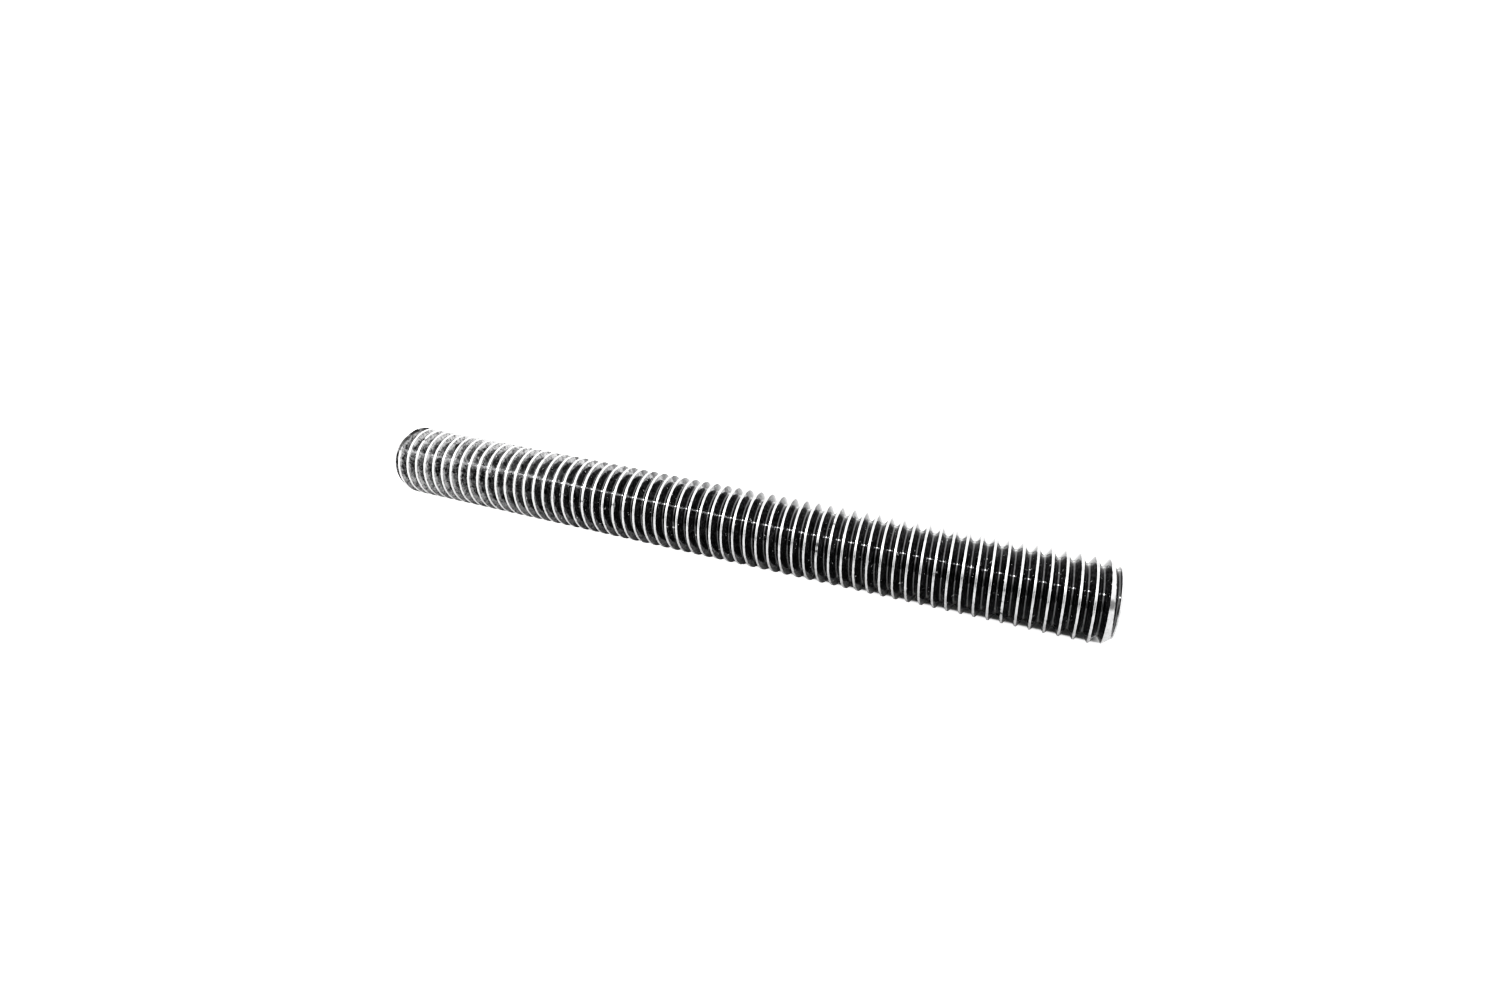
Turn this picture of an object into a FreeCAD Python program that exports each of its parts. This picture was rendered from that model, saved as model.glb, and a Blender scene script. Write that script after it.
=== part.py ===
"""Fully threaded steel rod: M8 x 1.25 right-hand, 80 mm long, pointed a little at both ends.

The rod lies along X with its middle at the origin and +Z up. It is one solid bar: a round
blank, a short lead-in cone at each end, and one continuous 60 degree V groove with a rounded
root that runs as a helix from end to end. Sizes are in millimetres and angles in degrees, and
all of them come from the sheet called dims.
"""
import FreeCAD
import Part
import Sketcher
import math
import os

DRIVING_SIZES = [
    # alias, value, meaning
    ("rod_length", 80.0, "overall length, end face to end face"),
    ("thread_pitch", 1.25, "axial step of one turn, M8 coarse"),
    ("major_diameter", 7.87, "over the crests, between the 6g limits 7.760 and 7.972"),
    ("pitch_diameter", 7.10, "on the flanks, between the 6g limits 7.042 and 7.160"),
    ("flank_angle", 60.0, "angle between the two flanks of the groove"),
    ("root_radius", 0.18, "radius at the bottom of the groove, 0.144 of the pitch"),
    ("crest_offset", 0.09, "along the top of the rod, from its middle to the nearest crest"),
    ("right_lead", 1.11, "length along the rod of the cone at the +X end"),
    ("left_lead", 1.30, "length along the rod of the cone at the -X end"),
    ("lead_angle", 36.0, "between either cone's side and the rod's axis"),
    ("cutter_rise", 0.06, "how far the groove's section stands out past the crests"),
    ("overrun_turns", 1.5, "turns that the groove runs on past each end face"),
]

# The numbers that a sketch constraint uses for the points of a line or an arc, and for the
# sketch's own origin and horizontal axis.
START_POINT = 1
END_POINT = 2
CENTRE_POINT = 3
ORIGIN = (-1, 1)
X_AXIS = -1

# Sides of the rod, and the greatest extent along X that still counts as flat.
LEFT = -1
RIGHT = 1
FLAT = 1e-6


def make_sheet(doc):
    """Fill the sheet of driving sizes, one to a row: alias, value and meaning."""
    sheet = doc.addObject("Spreadsheet::Sheet", "dims")
    for row, (alias, value, meaning) in enumerate(DRIVING_SIZES, start=1):
        sheet.set(f"A{row}", alias)
        sheet.set(f"B{row}", str(value))
        sheet.set(f"C{row}", meaning)
        sheet.setAlias(f"B{row}", alias)
    doc.recompute()
    return sheet


def origin_feature(body, role):
    """Find the plane or axis of the body's own origin that has this role."""
    return next(item for item in body.Origin.OriginFeatures if item.Role == role)


def add_sketch(body, name, role):
    """Start a sketch on one of the planes of the body's own origin."""
    sketch = body.newObject("Sketcher::SketchObject", name)
    sketch.AttachmentSupport = [(origin_feature(body, role), "")]
    sketch.MapMode = "FlatFace"
    return sketch


def add_dimension(sketch, name, formula, *constraint):
    """Add a named dimension to a sketch and drive it with a formula on the sheet."""
    index = sketch.addConstraint(Sketcher.Constraint(*constraint))
    sketch.renameConstraint(index, name)
    sketch.setExpression(f"Constraints.{name}", formula)


def add_blank(body, sheet):
    """Round bar of the major diameter, its middle at the origin."""
    section = add_sketch(body, "blank_section", "YZ_Plane")
    radius = sheet.major_diameter / 2
    rim = section.addGeometry(Part.Circle(FreeCAD.Vector(), FreeCAD.Vector(0, 0, 1), radius))
    section.addConstraint(Sketcher.Constraint("Coincident", rim, CENTRE_POINT, *ORIGIN))
    add_dimension(section, "across", "dims.major_diameter", "Diameter", rim, 2 * radius)
    blank = body.newObject("PartDesign::Pad", "blank")
    blank.Profile = section
    blank.Midplane = True
    blank.setExpression("Length", "dims.rod_length")
    return blank


def add_lead(body, base, name, side, length):
    """Turn the rim of the end face on one side of the feature before it down to a cone."""
    rims = [
        f"Edge{number}"
        for number, edge in enumerate(base.Shape.Edges, start=1)
        if edge.BoundBox.XLength < FLAT and side * edge.BoundBox.Center.x > 0
    ]
    chamfer = body.newObject("PartDesign::Chamfer", name)
    chamfer.Base = (base, rims)
    chamfer.ChamferType = "Distance and Angle"
    chamfer.setExpression("Size", length)
    chamfer.setExpression("Angle", "dims.lead_angle")
    return chamfer


def add_groove_section(body, sheet):
    """Section of the groove on the XZ plane, above the axis and left of the -X end.

    Two straight flanks rise from a root arc that is tangent to both of them, and a level
    line closes the section just outside the crests.
    """
    section = add_sketch(body, "groove_section", "XZ_Plane")
    half_angle = math.radians(sheet.flank_angle / 2)
    vee_tip = sheet.pitch_diameter / 2 - sheet.thread_pitch / 4 / math.tan(half_angle)
    middle = sheet.crest_offset - sheet.rod_length / 2 - sheet.overrun_turns * sheet.thread_pitch
    centre_height = vee_tip + sheet.root_radius / math.sin(half_angle)
    tangent_x = sheet.root_radius * math.cos(half_angle)
    tangent_z = centre_height - sheet.root_radius * math.sin(half_angle)
    top_z = sheet.major_diameter / 2 + sheet.cutter_rise
    top_x = (top_z - vee_tip) * math.tan(half_angle)
    left_foot = FreeCAD.Vector(middle - tangent_x, tangent_z)
    bottom = FreeCAD.Vector(middle, centre_height - sheet.root_radius)
    right_foot = FreeCAD.Vector(middle + tangent_x, tangent_z)
    right_top = FreeCAD.Vector(middle + top_x, top_z)
    left_top = FreeCAD.Vector(middle - top_x, top_z)

    root = section.addGeometry(Part.Arc(left_foot, bottom, right_foot))
    right_flank = section.addGeometry(Part.LineSegment(right_foot, right_top))
    top = section.addGeometry(Part.LineSegment(right_top, left_top))
    left_flank = section.addGeometry(Part.LineSegment(left_top, left_foot))
    for constraint in (
        ("Tangent", root, END_POINT, right_flank, START_POINT),
        ("Coincident", right_flank, END_POINT, top, START_POINT),
        ("Coincident", top, END_POINT, left_flank, START_POINT),
        ("Tangent", left_flank, END_POINT, root, START_POINT),
        ("Horizontal", top),
        ("Equal", right_flank, left_flank),
    ):
        section.addConstraint(Sketcher.Constraint(*constraint))

    add_dimension(section, "root_radius", "dims.root_radius", "Radius", root, sheet.root_radius)
    add_dimension(
        section,
        "root_centre_height",
        "dims.pitch_diameter / 2 - dims.thread_pitch / 4 / tan(dims.flank_angle / 2)"
        " + dims.root_radius / sin(dims.flank_angle / 2)",
        "DistanceY", *ORIGIN, root, CENTRE_POINT, centre_height,
    )
    add_dimension(
        section,
        "start_before_middle",
        "dims.rod_length / 2 + dims.overrun_turns * dims.thread_pitch - dims.crest_offset",
        "DistanceX", root, CENTRE_POINT, *ORIGIN, -middle,
    )
    add_dimension(
        section,
        "flank_slope",
        "90 - dims.flank_angle / 2",
        "Angle", X_AXIS, START_POINT, right_flank, START_POINT, math.pi / 2 - half_angle,
    )
    add_dimension(
        section,
        "top_height",
        "dims.major_diameter / 2 + dims.cutter_rise",
        "DistanceY", *ORIGIN, top, START_POINT, top_z,
    )
    return section


def add_thread(body, section):
    """Cut the groove along a right-hand helix about X, past both end faces."""
    thread = body.newObject("PartDesign::SubtractiveHelix", "thread")
    thread.Profile = section
    thread.ReferenceAxis = (origin_feature(body, "X_Axis"), [""])
    thread.Mode = "pitch-turns-angle"
    thread.LeftHanded = False
    thread.Reversed = False
    thread.Refine = False
    thread.setExpression("Pitch", "dims.thread_pitch")
    thread.setExpression(
        "Turns", "dims.rod_length / dims.thread_pitch + 2 * dims.overrun_turns"
    )
    return thread


def make_threaded_rod(doc, sheet):
    """The rod: blank, a cone at each end, then the thread."""
    body = doc.addObject("PartDesign::Body", "threaded_rod")
    body.Label = "threaded_rod"
    doc.recompute()
    blank = add_blank(body, sheet)
    doc.recompute()
    right = add_lead(body, blank, "right_end", RIGHT, "dims.right_lead")
    doc.recompute()
    left = add_lead(body, right, "left_end", LEFT, "dims.left_lead")
    doc.recompute()
    section = add_groove_section(body, sheet)
    doc.recompute()
    thread = add_thread(body, section)
    doc.recompute()
    body.Tip = thread
    body.Placement = FreeCAD.Placement()
    doc.recompute()
    check_leads(left, sheet)
    check_groove(left, thread, sheet)
    return body


def check_leads(blank, sheet):
    """Compare the flat face at each end of the blank with what its cone should leave."""
    for side, length in ((RIGHT, sheet.right_lead), (LEFT, sheet.left_lead)):
        fall = length * math.tan(math.radians(sheet.lead_angle))
        expected = sheet.major_diameter - 2 * fall
        across = next(
            face.BoundBox.YLength
            for face in blank.Shape.Faces
            if face.BoundBox.XLength < FLAT and side * face.BoundBox.Center.x > 0
        )
        print(f"end face {side:+d}: {across:.3f} mm across, {expected:.3f} mm expected")
        if abs(across - expected) > FLAT:
            raise RuntimeError("an end cone is not the size it should be")


def check_groove(blank, thread, sheet):
    """Compare the metal that the groove took away with its section swept once round per turn."""
    half_angle = math.radians(sheet.flank_angle / 2)
    vee_tip = sheet.pitch_diameter / 2 - sheet.thread_pitch / 4 / math.tan(half_angle)
    depth = sheet.major_diameter / 2 - vee_tip
    tip_loss = sheet.root_radius**2 * (1 / math.tan(half_angle) - (math.pi / 2 - half_angle))
    section_area = depth**2 * math.tan(half_angle) - tip_loss
    section_radius = vee_tip + 2 / 3 * depth
    threaded_length = sheet.rod_length - sheet.right_lead / 2 - sheet.left_lead / 2
    turns = threaded_length / sheet.thread_pitch
    expected = 2 * math.pi * section_radius * section_area * turns
    removed = blank.Shape.Volume - thread.Shape.Volume
    print(f"groove removes {removed:.1f} mm3, section swept round gives {expected:.1f} mm3")
    if abs(removed / expected - 1) > 0.03:
        raise RuntimeError("the thread groove has not cut what it should")


def check_document(doc, bodies):
    """Stop if any object failed to compute or a body is not one valid solid."""
    for item in doc.Objects:
        if {"Invalid", "Error"} & set(item.State):
            raise RuntimeError(f"{item.Name} did not compute: {item.State}")
    for body in bodies:
        shape = body.Shape
        if shape.isNull() or not shape.isValid() or len(shape.Solids) != 1:
            raise RuntimeError(f"{body.Label} is not one valid solid")
        print(f"{body.Label}: {shape.Volume:.1f} mm3, {len(shape.Faces)} faces")


def main():
    doc = FreeCAD.newDocument("threaded_rod")
    sheet = make_sheet(doc)
    bodies = [make_threaded_rod(doc, sheet)]
    check_document(doc, bodies)
    os.makedirs("parts", exist_ok=True)
    for body in bodies:
        body.Shape.exportStep(os.path.join("parts", f"{body.Label}.step"))


main()
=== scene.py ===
"""Looks of the fully threaded rod: a finely cut thread in steel, with painted shade in its
grooves, on a pale floor.

Lengths are in metres. The rod lies along X with its middle at the origin and +Z up, and the
viewer is on the -Y side. Angles round the rod are counted from +Z towards -Y, which is how a
right-hand thread turns as it runs towards +X.
"""
import math
import random

import bmesh
import bpy
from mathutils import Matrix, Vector, noise


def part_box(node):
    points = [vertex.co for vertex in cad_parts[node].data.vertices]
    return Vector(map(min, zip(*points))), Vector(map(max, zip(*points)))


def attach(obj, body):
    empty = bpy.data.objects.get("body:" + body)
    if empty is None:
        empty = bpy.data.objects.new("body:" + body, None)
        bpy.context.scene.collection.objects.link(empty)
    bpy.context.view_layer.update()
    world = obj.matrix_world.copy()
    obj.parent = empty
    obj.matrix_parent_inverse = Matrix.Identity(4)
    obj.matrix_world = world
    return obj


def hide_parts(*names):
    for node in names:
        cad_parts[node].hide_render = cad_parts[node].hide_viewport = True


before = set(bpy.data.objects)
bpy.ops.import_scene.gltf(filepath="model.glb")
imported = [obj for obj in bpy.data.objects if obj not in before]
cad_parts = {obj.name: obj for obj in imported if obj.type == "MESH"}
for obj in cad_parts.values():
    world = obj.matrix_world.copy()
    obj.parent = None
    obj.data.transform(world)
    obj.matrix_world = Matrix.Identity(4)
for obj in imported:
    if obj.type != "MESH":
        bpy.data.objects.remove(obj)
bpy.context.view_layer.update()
NODE = "threaded_rod"
low, high = (Vector(corner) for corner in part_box(NODE))
MM = 0.001

# Thread, the same sizes as the CAD model's. The length and the crest radius come from its box.
LENGTH = high.x - low.x
CREST_RADIUS = (high.z - low.z) / 2
PITCH = 1.25 * MM
PITCH_RADIUS = 3.55 * MM
HALF_ANGLE = math.radians(30)
ROOT_ROUND = 0.18 * MM
CREST_OFFSET = 0.09 * MM
RIGHT_LEAD = 1.11 * MM
LEFT_LEAD = 1.30 * MM
LEAD_ANGLE = math.radians(36)

# Radius at which the two flanks of the groove would meet if it had no rounded root.
VEE_TIP = PITCH_RADIUS - PITCH / 4 / math.tan(HALF_ANGLE)

# Roundings that only the looks have: edges of the crests, and rims of the end faces.
CREST_ROUND = 0.05 * MM
END_ROUND = 0.04 * MM

# Fineness of the mesh: steps to one turn of the thread, round the blank and along a rounding,
# and the shares of a flank at which it has its two points.
TURN_STEPS = 72
END_STEPS = 128
ROUND_STEPS = 3
FLANK_SHARES = (0.12, 0.88)

# Turns that the thread has beyond the rod's length, how far along the rod the blank's cones run
# on once they are as wide as the crests, and the angle from which an edge is drawn sharp.
SPARE_TURNS = 3
BLANK_CLEARANCE = 0.3 * MM
SHARP_EDGE = math.radians(28)

# Wear: small dents that stand anywhere along the crest, and waviness of the crest's edges. The
# noise moves on by the step from one row to the next, and the gap sets the two edges apart.
WEAR_SEED = 11
DENT_COUNT = 110
DENT_DEPTHS = (0.02 * MM, 0.07 * MM)
EDGE_WAVE = 0.014 * MM
WAVE_STEP = 0.45
WAVE_GAP = 7.3

# Tool marks on an end face, from its centre outwards: (share of the face's radius, depth).
FACING_MARKS = (
    (0.07, 0.012 * MM), (0.13, 0.0), (0.38, 0.0), (0.42, 0.010 * MM), (0.64, 0.0),
    (0.68, 0.010 * MM), (0.88, 0.0),
)

# In the pairs below that bound an effect, it begins at the first value and is full at the
# second. Colours are linear, and a pair of them is the darkest and the lightest.

# Noises in the steel, by scale and, where it isn't the usual one, detail. The streaks run along
# the groove, because their noise is squeezed this much between the root and the crest. The
# spans are the values that most of a noise, or nearly all of it, lies between.
GRAIN_SCALE = 2600.0
SPECKLE_SCALE = 4200.0
BLOTCH_SCALE = 900.0
STREAK_SCALE = 1300.0
STREAK_DETAIL = 3.0
STREAK_SQUEEZE = 16.0
SPECK_DETAIL = 1.0
NOISE_SPAN = (0.3, 0.7)
NOISE_WIDE_SPAN = (0.2, 0.8)

# Bright metal, by its height over the blank's surface, with a ragged border; below it the groove
# takes its painted shade. End faces, by their distance from the rod's end.
BRIGHT_HEIGHTS = (-0.07 * MM, -0.03 * MM)
BORDER_WANDER = 0.015 * MM
END_FACE_DEPTHS = (0.03 * MM, 0.015 * MM)

# Groove: painted dark as shade of the hollow, mottled by speckle, blotch and streak in these
# shares, and darker still in the root as painted shade, and smoother there.
MOTTLE_SHARES = (0.55, 0.25, 0.20)
MOTTLE_LEVELS = (0.38, 0.66)
GROOVE_SHADED_COLOURS = ((0.06, 0.06, 0.061), (0.17, 0.17, 0.172))
GROOVE_ROUGHNESS = (0.07, 0.14)
ROOT_RADII = (VEE_TIP + ROOT_ROUND * 1.6, VEE_TIP + ROOT_ROUND * 1.2)
ROOT_SHADED_COLOUR = (0.08, 0.08, 0.081)
ROOT_SMOOTHNESS = 0.35

# Greyer film in patches in the groove, thickened towards the left as a painted reflection of the
# light that the flanks there catch, and pale specks. It is rougher and less metallic than the
# steel.
FILM_SHEEN_REACH = (-8 * MM, -36 * MM)
FILM_LEAST = 0.06
FILM_SHEEN_GAIN = 0.58
FILM_PATCHES = (0.41, 0.57)
SPECK_LEVELS = (0.71, 0.75)
FILM_AND_SHEEN_COLOUR = (0.42, 0.42, 0.42)
FILM_ROUGHNESS = 0.22
FILM_DULLNESS = 0.35

# Crests and cones, lighter than the shaded groove and paler to the left as a painted reflection,
# and the greyer end faces. Rubbing varies their tone and follows grain and streak in these shares.
RUB_SHARES = (0.5, 0.5)
RUB_LEVELS = (0.35, 0.65)
CREST_COLOURS = ((0.38, 0.38, 0.382), (0.54, 0.54, 0.542))
CREST_ROUGHNESS = (0.24, 0.34)
PAINTED_SHEEN_REACH = (18 * MM, -30 * MM)
PAINTED_SHEEN_SHARE = 0.45
PAINTED_SHEEN_COLOUR = (0.80, 0.80, 0.80)
END_FACE_COLOURS = ((0.17, 0.17, 0.171), (0.30, 0.30, 0.301))

# Reflection that the steel keeps where it isn't metallic, except on the dark line.
SPECULAR_LEVEL = 0.5

# Painted dark reflection, a soft grey spot on the last crest at the right end.
DARK_REFLECTION_CENTRE = Vector((39.15, -3.35, 2.05)) * MM
DARK_REFLECTION_RADII = (0.75 * MM, 0.25 * MM)
DARK_REFLECTION_SHARE = 0.85
DARK_REFLECTION_COLOUR = (0.08, 0.08, 0.08)

# Dark blotchy line along the top of the first crest at the left end: its place and half its width
# along the rod, the height that it reaches down to, how soft its borders are, and how blotchy.
DARK_LINE_X = -38.61 * MM
DARK_LINE_HALF = 0.22 * MM
DARK_LINE_SIDE_BLUR = 0.08 * MM
DARK_LINE_FOOT = 2.5 * MM
DARK_LINE_FOOT_BLUR = 0.2 * MM
DARK_LINE_BLOTCHES = (0.36, 0.48)
DARK_LINE_SHARES = (0.45, 0.95)
DARK_LINE_COLOUR = (0.015, 0.015, 0.015)

# Floor: pale grey, with light of its own for the camera alone. That light begins a little to
# either side of the line that the rod rests on, and near its ends.
FLOOR_SIZE = 3.0
FLOOR_COLOUR = (0.64, 0.64, 0.64)
FLOOR_ROUGHNESS = 0.9
FILL_STRENGTH = 0.9
FILL_BESIDE = (0.18 * CREST_RADIUS, 0.31 * CREST_RADIUS)
FILL_PAST_END = (-1.2 * MM, 0.4 * MM)

# Studio: even light all round, dimmer in a round zone in front of the rod, whose angles are
# taken from its middle, and brighter low down behind it, by the Y and the Z of the direction.
STUDIO_STRENGTH = 2.0
DIM_MIDDLE = Vector((-0.05, -0.98, 0.16))
DIM_ANGLES = (math.radians(34), math.radians(12))
DIM_SHARE = 0.85
GLOW_BACK = (0.3, 0.7)
GLOW_HEIGHTS = (0.25, 0.03)
GLOW_GAIN = 0.9

# Strip lamp along the rod, for the row of glints on its crests.
LAMP_LENGTH = 0.30
LAMP_WIDTH = 0.012
LAMP_POWER = 0.55
LAMP_X = -0.10
LAMP_DISTANCE = 0.30
LAMP_ELEVATION = math.radians(56)

# Camera: above and in front of the rod's right half, tilted down and turned to the left.
SENSOR_WIDTH_MM = 36.0
LENS_MM = 18.78
CLIP_START = 0.001
CAMERA_X = 30.44 * MM
CAMERA_DISTANCE = 77.40 * MM
CAMERA_ELEVATION = math.radians(33.31)
CAMERA_TILT_DOWN = math.radians(29.34)
CAMERA_TURN_LEFT = math.radians(21.84)

# Tone curve, and the number of the one that all three colours share: (level in, level out).
COMBINED_CURVE = 3
TONE_POINTS = ((0.03, 0.008), (0.12, 0.09), (0.25, 0.26), (0.55, 0.66), (0.80, 0.92))


def thread_section():
    """Half a pitch of the thread, from the middle of a groove to the middle of a crest.

    Returns (distance along the rod, radius) points: root arc, flank, rounded crest edge, crest.
    """
    turn = math.pi / 2 - HALF_ANGLE
    root_centre = VEE_TIP + ROOT_ROUND / math.sin(HALF_ANGLE)
    crest_edge = (CREST_RADIUS - VEE_TIP) * math.tan(HALF_ANGLE)
    round_x = crest_edge + CREST_ROUND * math.tan(turn / 2)
    round_r = CREST_RADIUS - CREST_ROUND
    root, crest = [], []
    for step in range(ROUND_STEPS + 1):
        lean = turn * step / ROUND_STEPS
        sine, cosine = math.sin(lean), math.cos(lean)
        root.append((ROOT_ROUND * sine, root_centre - ROOT_ROUND * cosine))
        crest.insert(0, (round_x - CREST_ROUND * sine, round_r + CREST_ROUND * cosine))
    foot, head = Vector(root[-1]), Vector(crest[0])
    flank = [tuple(foot.lerp(head, share)) for share in FLANK_SHARES]
    return root + flank + crest + [(PITCH / 2, CREST_RADIUS)]


def thread_mesh():
    """The thread as a closed right-hand helix that runs on past both ends of the rod.

    Each row of the grid is the section at one step of the helix. It starts in the middle of
    the crest on its left and stops just short of the middle of the crest on its right, which
    is the first point of the row one turn further on.
    """
    half = thread_section()
    section = [(-x, r) for x, r in reversed(half[1:])] + half[:-1]
    turns = round(LENGTH / PITCH) + SPARE_TURNS
    rows = turns * TURN_STEPS
    start = CREST_OFFSET - turns / 2 * PITCH
    wear = random.Random(WEAR_SEED)
    dents = {wear.randrange(rows): wear.uniform(*DENT_DEPTHS) for _ in range(DENT_COUNT)}
    crest_foot = CREST_RADIUS - CREST_ROUND
    mesh = bmesh.new()

    def vertex(row, x, r):
        """One point of a row, moved by the wear if it is on a crest.

        The crest on the right of a row is the one on the left of the row a turn later.
        """
        angle = math.tau * row / TURN_STEPS
        along = start + PITCH * row / TURN_STEPS
        if r > crest_foot:
            side = math.copysign(1, x)
            crest_row = row if side < 0 else row + TURN_STEPS
            r -= dents.get(crest_row, 0)
            if abs(x) < PITCH / 2:
                place = Vector((crest_row * WAVE_STEP, side * WAVE_GAP, 0))
                x += EDGE_WAVE * noise.noise(place)
        return mesh.verts.new((along + x, -r * math.sin(angle), r * math.cos(angle)))

    grid = [[vertex(row, x, r) for x, r in section] for row in range(rows + 1)]
    grid += [[vertex(rows + row, *section[0])] for row in range(1, TURN_STEPS + 1)]

    def whole_row(row):
        """A row of the grid and the middle of the crest on its right."""
        return grid[row] + [grid[row + TURN_STEPS][0]]

    for row in range(rows):
        here, there = whole_row(row), whole_row(row + 1)
        for column in range(len(section)):
            mesh.faces.new((here[column], here[column + 1], there[column + 1], there[column]))
    for row, along in ((0, start), (rows, start + PITCH * turns)):
        rim = [grid[row + step][0] for step in range(TURN_STEPS)] + whole_row(row)[:0:-1]
        tip = mesh.verts.new((along, 0, 0))
        for a, b in zip(rim, rim[1:] + rim[:1]):
            mesh.faces.new((a, b, tip))
    bmesh.ops.recalc_face_normals(mesh, faces=mesh.faces)
    return mesh


def end_profile(length):
    """(distance from the end face, radius) points: end face, rounded rim, then the cone's side."""
    rim = CREST_RADIUS - length * math.tan(LEAD_ANGLE)
    turn = math.pi / 2 - LEAD_ANGLE
    setback = END_ROUND * math.tan(turn / 2)
    points = [(depth, rim * share) for share, depth in FACING_MARKS]
    for step in range(ROUND_STEPS + 1):
        lean = turn * step / ROUND_STEPS
        depth = END_ROUND * (1 - math.cos(lean))
        points.append((depth, rim - setback + END_ROUND * math.sin(lean)))
    outer_radius = CREST_RADIUS + BLANK_CLEARANCE * math.tan(LEAD_ANGLE)
    points.append((length + BLANK_CLEARANCE, outer_radius))
    return points


def blank_mesh():
    """Turned blank: wider than the crests, with a cone at each end, to trim the thread with."""
    outline = [(low.x + x, r) for x, r in end_profile(LEFT_LEAD)]
    outline += [(high.x - x, r) for x, r in reversed(end_profile(RIGHT_LEAD))]
    mesh = bmesh.new()
    rings = []
    for x, r in outline:
        angles = (math.tau * step / END_STEPS for step in range(END_STEPS))
        rings.append([mesh.verts.new((x, r * math.cos(a), r * math.sin(a))) for a in angles])
    for here, there in zip(rings, rings[1:]):
        for step in range(END_STEPS):
            after = (step + 1) % END_STEPS
            mesh.faces.new((here[step], here[after], there[after], there[step]))
    for ring in (rings[0], rings[-1]):
        mesh.faces.new(ring)
    bmesh.ops.recalc_face_normals(mesh, faces=mesh.faces)
    return mesh


def to_object(name, mesh):
    """Put a finished bmesh into the scene as an object."""
    data = bpy.data.meshes.new(name)
    mesh.to_mesh(data)
    mesh.free()
    piece = bpy.data.objects.new(name, data)
    bpy.context.scene.collection.objects.link(piece)
    return piece


def make_rod():
    """The thread trimmed by the blank, as one closed mesh with crisp edges."""
    rod = to_object("rod_steel", thread_mesh())
    blank = to_object("blank", blank_mesh())
    trim = rod.modifiers.new("trim", "BOOLEAN")
    trim.operation = "INTERSECT"
    trim.solver = "EXACT"
    trim.object = blank
    depsgraph = bpy.context.evaluated_depsgraph_get()
    trimmed = bpy.data.meshes.new_from_object(rod.evaluated_get(depsgraph))
    rod.modifiers.clear()
    rod.data = trimmed
    bpy.data.objects.remove(blank)
    trimmed.polygons.foreach_set("use_smooth", [True] * len(trimmed.polygons))
    trimmed.set_sharp_from_angle(angle=SHARP_EDGE)
    return rod


class Nodes:
    """Short way to add and join shader nodes."""

    def __init__(self, tree):
        self.tree = tree

    def add(self, kind, **settings):
        """A new node with these settings."""
        node = self.tree.nodes.new(kind)
        for name, value in settings.items():
            setattr(node, name, value)
        return node

    def link(self, source, target):
        """Join an output to an input."""
        self.tree.links.new(source, target)

    def maths(self, operation, *values):
        """Result of an operation on outputs or plain numbers."""
        node = self.add("ShaderNodeMath", operation=operation)
        for socket, value in zip(node.inputs, values):
            if isinstance(value, (int, float)):
                socket.default_value = value
            else:
                self.link(value, socket)
        return node.outputs[0]

    def rest(self, share):
        """What a share leaves of 1."""
        return self.maths("SUBTRACT", 1.0, share)

    def total(self, shares, values):
        """Sum of the values, each times its share."""
        terms = [self.maths("MULTIPLY", value, share) for share, value in zip(shares, values)]
        result = terms[0]
        for term in terms[1:]:
            result = self.maths("ADD", result, term)
        return result

    def split(self, vector):
        """X, Y and Z of a vector."""
        node = self.add("ShaderNodeSeparateXYZ")
        self.link(vector, node.inputs[0])
        return node.outputs

    def measure(self, operation, vector, fixed):
        """One number from a vector and a fixed vector, such as the distance between them."""
        node = self.add("ShaderNodeVectorMath", operation=operation)
        self.link(vector, node.inputs[0])
        node.inputs[1].default_value = fixed
        return node.outputs["Value"]

    def ramp(self, value, bounds, results=(0.0, 1.0)):
        """Smooth change from the first result to the second between two bounds of a value."""
        node = self.add("ShaderNodeMapRange", interpolation_type="SMOOTHSTEP")
        self.link(value, node.inputs["Value"])
        names = ("From Min", "From Max", "To Min", "To Max")
        for name, number in zip(names, (*bounds, *results)):
            node.inputs[name].default_value = number
        return node.outputs["Result"]

    def noise(self, vector, scale, detail=4.0, roughness=0.6):
        """Noise texture, with its values round a half."""
        node = self.add("ShaderNodeTexNoise")
        self.link(vector, node.inputs["Vector"])
        node.inputs["Scale"].default_value = scale
        node.inputs["Detail"].default_value = detail
        node.inputs["Roughness"].default_value = roughness
        return node.outputs["Fac"]

    def mix(self, share, a, b):
        """Colour that is a where the share is 0, and b where it is 1."""
        node = self.add("ShaderNodeMix", data_type="RGBA")
        self.link(share, node.inputs["Factor"])
        for socket, value in ((node.inputs["A"], a), (node.inputs["B"], b)):
            if isinstance(value, tuple):
                socket.default_value = (*value, 1.0)
            else:
                self.link(value, socket)
        return node.outputs["Result"]


def streak_noise(n, x, y, z, radius):
    """Fine rolling marks that run along the groove."""
    squeezed = n.add("ShaderNodeCombineXYZ")
    up_the_flank = n.maths("MULTIPLY", radius, STREAK_SQUEEZE)
    slant = n.maths("ADD", y, x)
    for value, socket in zip((up_the_flank, slant, z), squeezed.inputs):
        n.link(value, socket)
    return n.noise(squeezed.outputs[0], STREAK_SCALE, STREAK_DETAIL)


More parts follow.
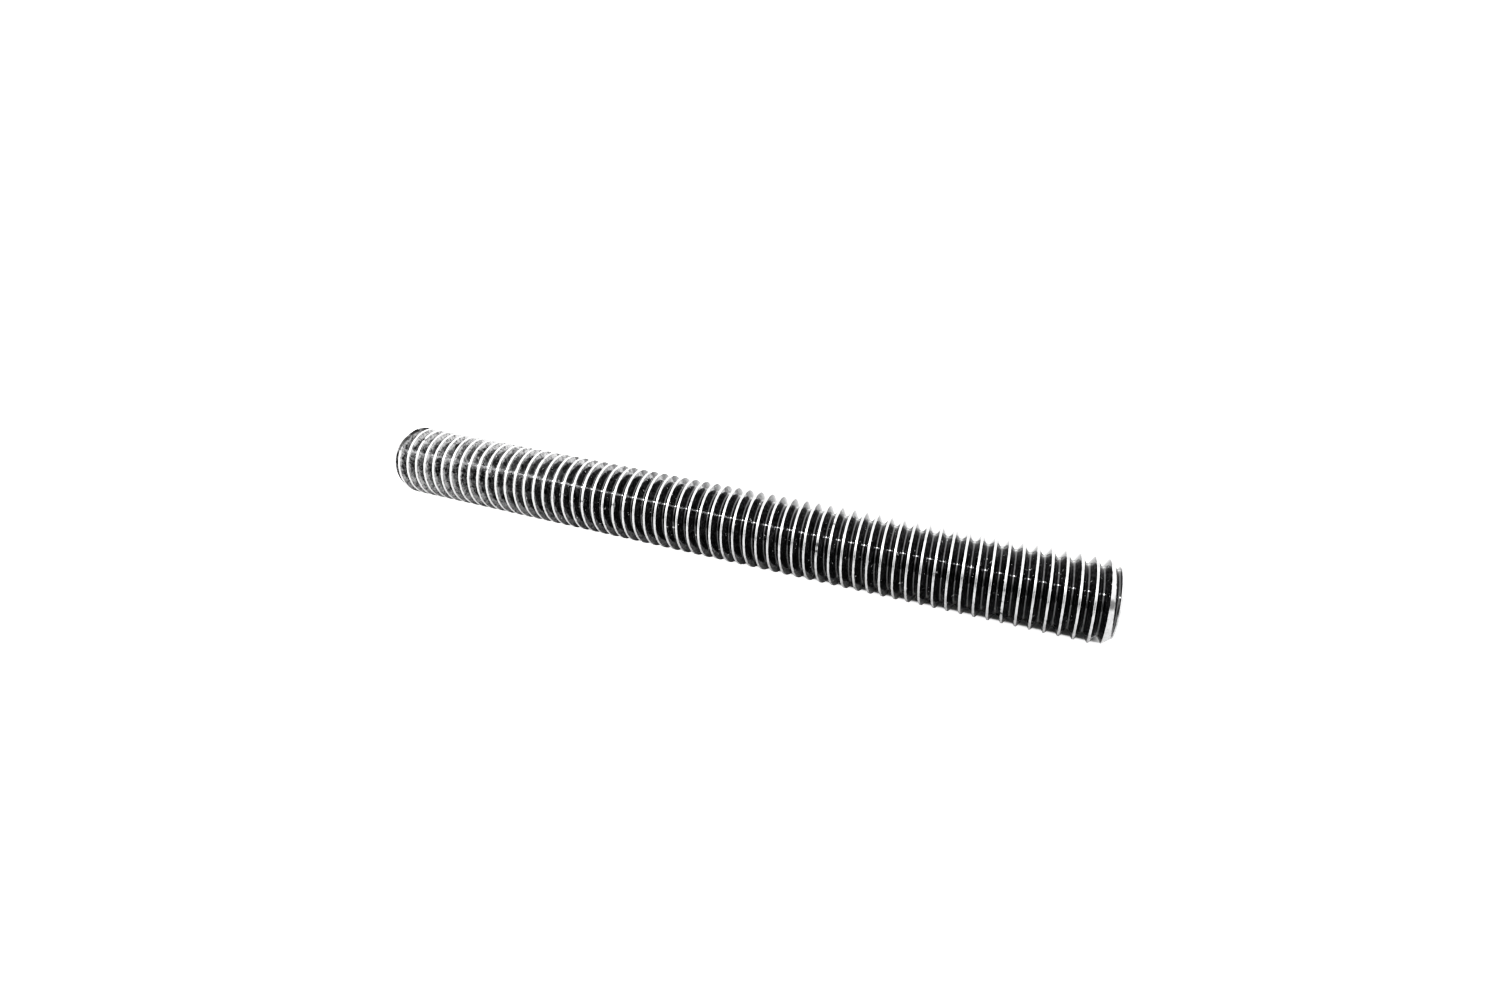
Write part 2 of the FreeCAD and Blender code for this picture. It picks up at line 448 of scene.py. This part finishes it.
def bright_mask(n, x, radius, end_face, grain):
    """1 on the crests, the cones and the end faces, and 0 down in the groove, which gets the
    painted shade.
    """
    slope = math.tan(LEAD_ANGLE)
    from_right = n.maths("MULTIPLY", n.maths("SUBTRACT", high.x - RIGHT_LEAD, x), slope)
    from_left = n.maths("MULTIPLY", n.maths("SUBTRACT", x, low.x + LEFT_LEAD), slope)
    blank_fall = n.maths("MINIMUM", n.maths("MINIMUM", from_right, from_left), 0.0)
    height = n.maths("SUBTRACT", n.maths("SUBTRACT", radius, CREST_RADIUS), blank_fall)
    wander = n.ramp(grain, NOISE_SPAN, (-BORDER_WANDER, BORDER_WANDER))
    return n.maths("MAXIMUM", n.ramp(n.maths("ADD", height, wander), BRIGHT_HEIGHTS), end_face)


def film_and_sheen_mask(n, x, place, mottle):
    """How much grey film covers the groove: patches, thickened to the left as painted reflection,
    and specks.
    """
    # Painted reflection: the film grows thicker towards the left end.
    thickness = n.maths("MULTIPLY", n.ramp(x, FILM_SHEEN_REACH), FILM_SHEEN_GAIN)
    thickness = n.maths("ADD", thickness, FILM_LEAST)
    patches = n.maths("MULTIPLY", thickness, n.ramp(mottle, FILM_PATCHES))
    specks = n.ramp(n.noise(place, GRAIN_SCALE, SPECK_DETAIL), SPECK_LEVELS)
    return n.maths("MAXIMUM", patches, specks)


def groove_look(n, radius, mottle, film_and_sheen):
    """Colour and roughness of the groove's flanks and root, both painted dark as shade."""
    root = n.ramp(radius, ROOT_RADII)
    colour = n.mix(n.ramp(mottle, MOTTLE_LEVELS), *GROOVE_SHADED_COLOURS)
    colour = n.mix(root, colour, ROOT_SHADED_COLOUR)
    colour = n.mix(film_and_sheen, colour, FILM_AND_SHEEN_COLOUR)
    roughness = n.ramp(mottle, NOISE_SPAN, GROOVE_ROUGHNESS)
    roughness = n.maths("ADD", roughness, n.maths("MULTIPLY", film_and_sheen, FILM_ROUGHNESS))
    kept = n.rest(n.maths("MULTIPLY", root, ROOT_SMOOTHNESS))
    return colour, n.maths("MULTIPLY", roughness, kept)


def crest_look(n, x, end_face, grain, streak):
    """Colour and roughness of the bright metal: crests, cones and end faces, with a painted
    reflection that makes the crests paler to the left.
    """
    rubbing = n.ramp(n.total(RUB_SHARES, (grain, streak)), RUB_LEVELS)
    colour = n.mix(rubbing, *CREST_COLOURS)
    # Painted reflection: crests paler towards the left end.
    colour = n.mix(n.ramp(x, PAINTED_SHEEN_REACH, (0.0, PAINTED_SHEEN_SHARE)), colour, PAINTED_SHEEN_COLOUR)
    colour = n.mix(end_face, colour, n.mix(rubbing, *END_FACE_COLOURS))
    return colour, n.ramp(grain, NOISE_WIDE_SPAN, CREST_ROUGHNESS)


def dark_reflection_mask(n, place):
    """Soft round spot of painted dark reflection."""
    away = n.measure("DISTANCE", place, DARK_REFLECTION_CENTRE)
    return n.ramp(away, DARK_REFLECTION_RADII, (0.0, DARK_REFLECTION_SHARE))


def dark_line_mask(n, x, z, blotch):
    """Thin, dark, blotchy line that follows one crest over the top of the rod."""
    aside = n.maths("ABSOLUTE", n.maths("SUBTRACT", x, DARK_LINE_X))
    line = n.ramp(aside, (DARK_LINE_HALF + DARK_LINE_SIDE_BLUR, DARK_LINE_HALF - DARK_LINE_SIDE_BLUR))
    top = n.ramp(z, (DARK_LINE_FOOT - DARK_LINE_FOOT_BLUR, DARK_LINE_FOOT + DARK_LINE_FOOT_BLUR))
    line = n.maths("MULTIPLY", line, top)
    return n.maths("MULTIPLY", line, n.ramp(blotch, DARK_LINE_BLOTCHES, DARK_LINE_SHARES))


def steel_material():
    """Mottled rolled steel, painted dark in its groove as shade, lighter on the crests, and turned
    at both ends.
    """
    material = bpy.data.materials.new("rolled_steel")
    material.use_nodes = True
    n = Nodes(material.node_tree)
    shader = material.node_tree.nodes["Principled BSDF"]
    place = n.add("ShaderNodeTexCoord").outputs["Object"]
    x, y, z = n.split(place)
    radius = n.maths("SQRT", n.maths("ADD", n.maths("MULTIPLY", y, y), n.maths("MULTIPLY", z, z)))
    to_end = n.maths("SUBTRACT", LENGTH / 2, n.maths("ABSOLUTE", x))
    end_face = n.ramp(to_end, END_FACE_DEPTHS)

    grain = n.noise(place, GRAIN_SCALE)
    speckle = n.noise(place, SPECKLE_SCALE)
    blotch = n.noise(place, BLOTCH_SCALE)
    streak = streak_noise(n, x, y, z, radius)
    mottle = n.total(MOTTLE_SHARES, (speckle, blotch, streak))

    bright = bright_mask(n, x, radius, end_face, grain)
    film_and_sheen = film_and_sheen_mask(n, x, place, mottle)
    groove_colour, groove_roughness = groove_look(n, radius, mottle, film_and_sheen)
    crest_colour, crest_roughness = crest_look(n, x, end_face, grain, streak)
    # Painted reflection: a dark spot on the last crest at the right end.
    crest_colour = n.mix(dark_reflection_mask(n, place), crest_colour, DARK_REFLECTION_COLOUR)
    # Dark line over the first crest at the left end: black and without reflection.
    dark_line = dark_line_mask(n, x, z, blotch)

    # Painted shade: the dark groove colour against the lighter crests.
    colour = n.mix(bright, groove_colour, crest_colour)
    n.link(n.mix(dark_line, colour, DARK_LINE_COLOUR), shader.inputs["Base Color"])
    dull = n.maths("MULTIPLY", n.maths("MULTIPLY", film_and_sheen, FILM_DULLNESS), n.rest(bright))
    off_dark_line = n.rest(dark_line)
    n.link(n.maths("MULTIPLY", off_dark_line, n.rest(dull)), shader.inputs["Metallic"])
    n.link(n.maths("MULTIPLY", off_dark_line, SPECULAR_LEVEL), shader.inputs["Specular IOR Level"])
    rise = n.maths("MULTIPLY", n.maths("SUBTRACT", crest_roughness, groove_roughness), bright)
    n.link(n.maths("ADD", groove_roughness, rise), shader.inputs["Roughness"])
    return material


def make_floor():
    """Plain pale floor, which the camera sees dark only right under the rod."""
    mesh = bmesh.new()
    bmesh.ops.create_grid(mesh, x_segments=1, y_segments=1, size=FLOOR_SIZE)
    floor = to_object("floor", mesh)
    floor.location.z = low.z
    material = bpy.data.materials.new("pale_floor")
    material.use_nodes = True
    shader = material.node_tree.nodes["Principled BSDF"]
    shader.inputs["Base Color"].default_value = (*FLOOR_COLOUR, 1)
    shader.inputs["Roughness"].default_value = FLOOR_ROUGHNESS
    shader.inputs["Emission Color"].default_value = (1, 1, 1, 1)
    n = Nodes(material.node_tree)
    seen = n.add("ShaderNodeLightPath").outputs["Is Camera Ray"]
    x, y, _ = n.split(n.add("ShaderNodeTexCoord").outputs["Object"])
    beside = n.ramp(n.maths("ABSOLUTE", y), FILL_BESIDE, (0.0, FILL_STRENGTH))
    from_end = n.maths("SUBTRACT", n.maths("ABSOLUTE", x), LENGTH / 2)
    past_end = n.ramp(from_end, FILL_PAST_END, (0.0, FILL_STRENGTH))
    fill = n.maths("MAXIMUM", beside, past_end)
    n.link(n.maths("MULTIPLY", seen, fill), shader.inputs["Emission Strength"])
    floor.data.materials.append(material)


def make_studio():
    """Soft light from all round, dimmer in front and a little brighter low down behind."""
    world = bpy.data.worlds.new("studio")
    bpy.context.scene.world = world
    world.use_nodes = True
    n = Nodes(world.node_tree)
    background = world.node_tree.nodes["Background"]
    background.inputs["Color"].default_value = (1, 1, 1, 1)
    direction = n.add("ShaderNodeTexCoord").outputs["Generated"]
    toward = n.measure("DOT_PRODUCT", direction, DIM_MIDDLE.normalized())
    dim = n.ramp(toward, [math.cos(angle) for angle in DIM_ANGLES])
    _, y, z = n.split(direction)
    low_down = n.ramp(n.maths("ABSOLUTE", z), GLOW_HEIGHTS)
    behind = n.maths("MULTIPLY", n.ramp(y, GLOW_BACK), low_down)
    glow = n.maths("ADD", 1.0, n.maths("MULTIPLY", behind, GLOW_GAIN))
    level = n.maths("MULTIPLY", glow, n.rest(n.maths("MULTIPLY", dim, DIM_SHARE)))
    n.link(n.maths("MULTIPLY", level, STUDIO_STRENGTH), background.inputs["Strength"])


def place_in_front(holder, x, distance, elevation):
    """Put a lamp or a camera on the viewer's side, this far and this high from the rod's axis."""
    bpy.context.scene.collection.objects.link(holder)
    holder.location = (x, -distance * math.cos(elevation), distance * math.sin(elevation))


def make_lamp():
    """Strip lamp that lies along the rod and faces its axis."""
    lamp = bpy.data.lights.new("strip_lamp", "AREA")
    lamp.shape = "RECTANGLE"
    lamp.size = LAMP_LENGTH
    lamp.size_y = LAMP_WIDTH
    lamp.energy = LAMP_POWER
    holder = bpy.data.objects.new("strip_lamp", lamp)
    place_in_front(holder, LAMP_X, LAMP_DISTANCE, LAMP_ELEVATION)
    holder.rotation_euler = (math.pi / 2 - LAMP_ELEVATION, 0, 0)


def make_camera():
    """Camera with the place, the turn and the lens that suit the photo's view."""
    camera = bpy.data.cameras.new("camera")
    camera.sensor_width = SENSOR_WIDTH_MM
    camera.lens = LENS_MM
    camera.clip_start = CLIP_START
    holder = bpy.data.objects.new("camera", camera)
    place_in_front(holder, CAMERA_X, CAMERA_DISTANCE, CAMERA_ELEVATION)
    holder.rotation_euler = (math.pi / 2 - CAMERA_TILT_DOWN, 0, CAMERA_TURN_LEFT)
    bpy.context.scene.camera = holder


def set_tone():
    """Deepen the darks and lift the lights a little, as a contrasty exposure does."""
    view = bpy.context.scene.view_settings
    view.view_transform = "Standard"
    view.use_curve_mapping = True
    curve = view.curve_mapping.curves[COMBINED_CURVE]
    for level_in, level_out in TONE_POINTS:
        curve.points.new(level_in, level_out)
    view.curve_mapping.update()


rod = make_rod()
rod.data.materials.clear()
rod.data.materials.append(steel_material())
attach(rod, "root")
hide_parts(NODE)
make_floor()
make_studio()
make_lamp()
make_camera()
set_tone()
